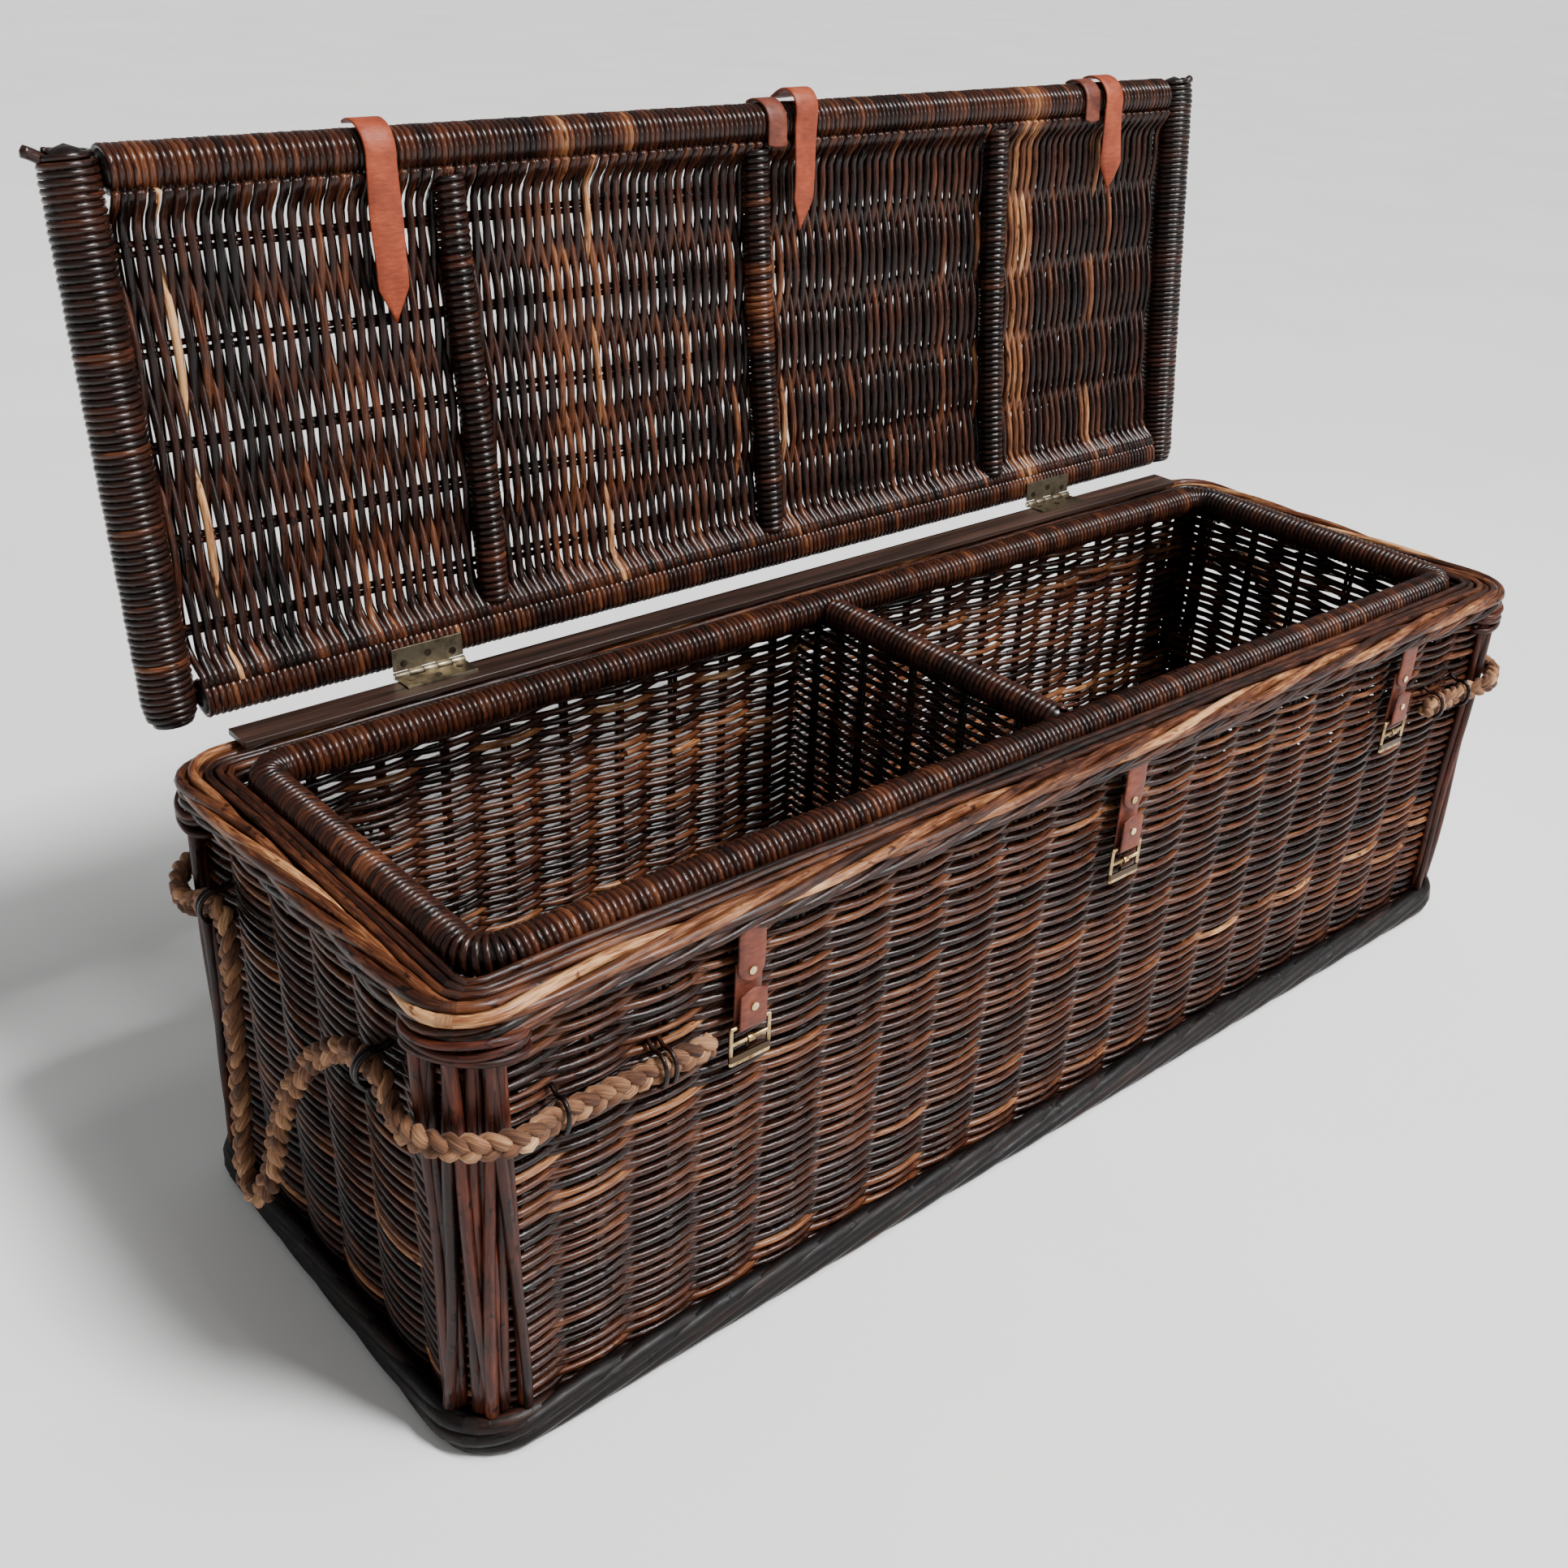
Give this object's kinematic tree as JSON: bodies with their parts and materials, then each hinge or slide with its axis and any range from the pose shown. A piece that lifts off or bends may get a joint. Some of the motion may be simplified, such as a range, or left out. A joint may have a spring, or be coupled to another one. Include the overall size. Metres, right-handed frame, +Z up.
{
  "type": "wicker storage trunk",
  "caption": "Long rectangular wicker trunk with a hinged lid, a divider, a wrapped rim, leather straps with buckles and rope loop handles.",
  "frame": {"origin": "centre of the base's underside, on the floor", "axes": "+X along the length to the right, -Y to the front where the buckles are, +Z up; the lid is open at rest"},
  "size_m": [1.2958, 0.5236, 0.7822],
  "materials": {
    "woven": "dark glossy cane rods, woven",
    "foot": "near-black cane, satin",
    "stakes": "dark cane, satin",
    "corner_sticks": "reddish-brown willow sticks, satin",
    "rim_rods": "light tan and brown cane, satin",
    "flat_rods": "dark brown cane, satin",
    "wrapped_roll": "fine dark cane wrapping, glossy",
    "batten": "dark stained wood, satin",
    "hinge_brass": "aged brass, dull",
    "screw_steel": "blackened steel",
    "rope": "plaited seagrass rope, matt",
    "willow_tie": "dark willow, satin",
    "tab_leather": "brown leather, worn satin",
    "strap_leather": "orange-tan leather, soft satin",
    "buckle_brass": "antique brass, satin"
  },
  "bodies": {
    "trunk": {"base_panel": "woven", "foot_border": "foot", "front_wall": "woven", "back_wall": "woven", "left_wall": "woven", "right_wall": "woven", "front_wall_stakes": "stakes", "back_wall_stakes": "stakes", "left_wall_stakes": "stakes", "right_wall_stakes": "stakes", "corner_sticks_front_left": "corner_sticks", "corner_sticks_front_right": "corner_sticks", "corner_sticks_back_left": "corner_sticks", "corner_sticks_back_right": "corner_sticks", "corner_collars": "corner_sticks", "rim_outer_border": "rim_rods", "rim_flat_border": "flat_rods", "rim_roll": "wrapped_roll", "divider_panel": "woven", "divider_stakes": "stakes", "divider_roll": "wrapped_roll", "hinge_batten": "batten", "hinge_lower_leaf_left": "hinge_brass", "hinge_lower_leaf_right": "hinge_brass", "hinge_pin_left": "hinge_brass", "hinge_pin_right": "hinge_brass", "batten_screws": "screw_steel", "rope_run_left": "rope", "rope_run_right": "rope", "rope_ties": "willow_tie", "rim_tab_left": "tab_leather", "rim_tab_centre": "tab_leather", "rim_tab_right": "tab_leather", "buckle_loop_left": "tab_leather", "buckle_loop_centre": "tab_leather", "buckle_loop_right": "tab_leather", "tab_rivets": "buckle_brass"},
    "lid": {"lid_panel": "woven", "lid_stakes": "stakes", "lid_front_roll": "wrapped_roll", "lid_back_roll": "wrapped_roll", "lid_side_roll_left": "wrapped_roll", "lid_side_roll_right": "wrapped_roll", "lid_ribs": "wrapped_roll", "hinge_upper_leaf_left": "hinge_brass", "hinge_upper_leaf_right": "hinge_brass", "lid_screws": "screw_steel", "strap_anchors": "tab_leather"},
    "strap_left": {"strap_left": "strap_leather"},
    "strap_centre": {"strap_centre": "strap_leather"},
    "strap_right": {"strap_right": "strap_leather"},
    "buckle_left": {"buckle_frame_left": "buckle_brass"},
    "buckle_centre": {"buckle_frame_centre": "buckle_brass"},
    "buckle_right": {"buckle_frame_right": "buckle_brass"},
    "prong_left": {"buckle_prong_left": "buckle_brass"},
    "prong_centre": {"buckle_prong_centre": "buckle_brass"},
    "prong_right": {"buckle_prong_right": "buckle_brass"},
    "handle_left": {"rope_handle_left": "rope"},
    "handle_right": {"rope_handle_right": "rope"}
  },
  "joints": [
    {"name": "lid_hinge", "type": "hinge", "parent": "trunk", "child": "lid", "pos_m": [0, 0.211, 0.3767], "axis": [1, 0, 0], "range_deg": [0, 96.5]},
    {"name": "strap_left_hang", "type": "hinge", "parent": "lid", "child": "strap_left", "pos_m": [-0.357, 0.27776, 0.7586], "axis": [1, 0, 0], "range_deg": [-118.7, 0]},
    {"name": "strap_centre_hang", "type": "hinge", "parent": "lid", "child": "strap_centre", "pos_m": [0.045, 0.27776, 0.7586], "axis": [1, 0, 0], "range_deg": [-118.7, 0]},
    {"name": "strap_right_hang", "type": "hinge", "parent": "lid", "child": "strap_right", "pos_m": [0.45, 0.27776, 0.7586], "axis": [1, 0, 0], "range_deg": [-118.7, 0]},
    {"name": "buckle_left_swing", "type": "hinge", "parent": "trunk", "child": "buckle_left", "pos_m": [-0.37, -0.203, 0.274], "axis": [1, 0, 0], "range_deg": [-110, 0]},
    {"name": "buckle_centre_swing", "type": "hinge", "parent": "trunk", "child": "buckle_centre", "pos_m": [0.02, -0.203, 0.274], "axis": [1, 0, 0], "range_deg": [-110, 0]},
    {"name": "buckle_right_swing", "type": "hinge", "parent": "trunk", "child": "buckle_right", "pos_m": [0.41, -0.203, 0.274], "axis": [1, 0, 0], "range_deg": [-110, 0]},
    {"name": "prong_left_swing", "type": "hinge", "parent": "buckle_left", "child": "prong_left", "pos_m": [-0.37, -0.203, 0.261], "axis": [1, 0, 0], "range_deg": [0, 20]},
    {"name": "prong_centre_swing", "type": "hinge", "parent": "buckle_centre", "child": "prong_centre", "pos_m": [0.02, -0.203, 0.261], "axis": [1, 0, 0], "range_deg": [0, 20]},
    {"name": "prong_right_swing", "type": "hinge", "parent": "buckle_right", "child": "prong_right", "pos_m": [0.41, -0.203, 0.261], "axis": [1, 0, 0], "range_deg": [0, 20]},
    {"name": "handle_left_swing", "type": "hinge", "parent": "trunk", "child": "handle_left", "pos_m": [-0.601, 0, 0.29], "axis": [0, 1, 0], "range_deg": [0, 140]},
    {"name": "handle_right_swing", "type": "hinge", "parent": "trunk", "child": "handle_right", "pos_m": [0.601, 0, 0.29], "axis": [0, -1, 0], "range_deg": [0, 140]}
  ],
  "couplings": [
    {"joint": "strap_left_hang", "follows": "lid_hinge", "ratio": -1.228},
    {"joint": "strap_centre_hang", "follows": "lid_hinge", "ratio": -1.228},
    {"joint": "strap_right_hang", "follows": "lid_hinge", "ratio": -1.228}
  ]
}
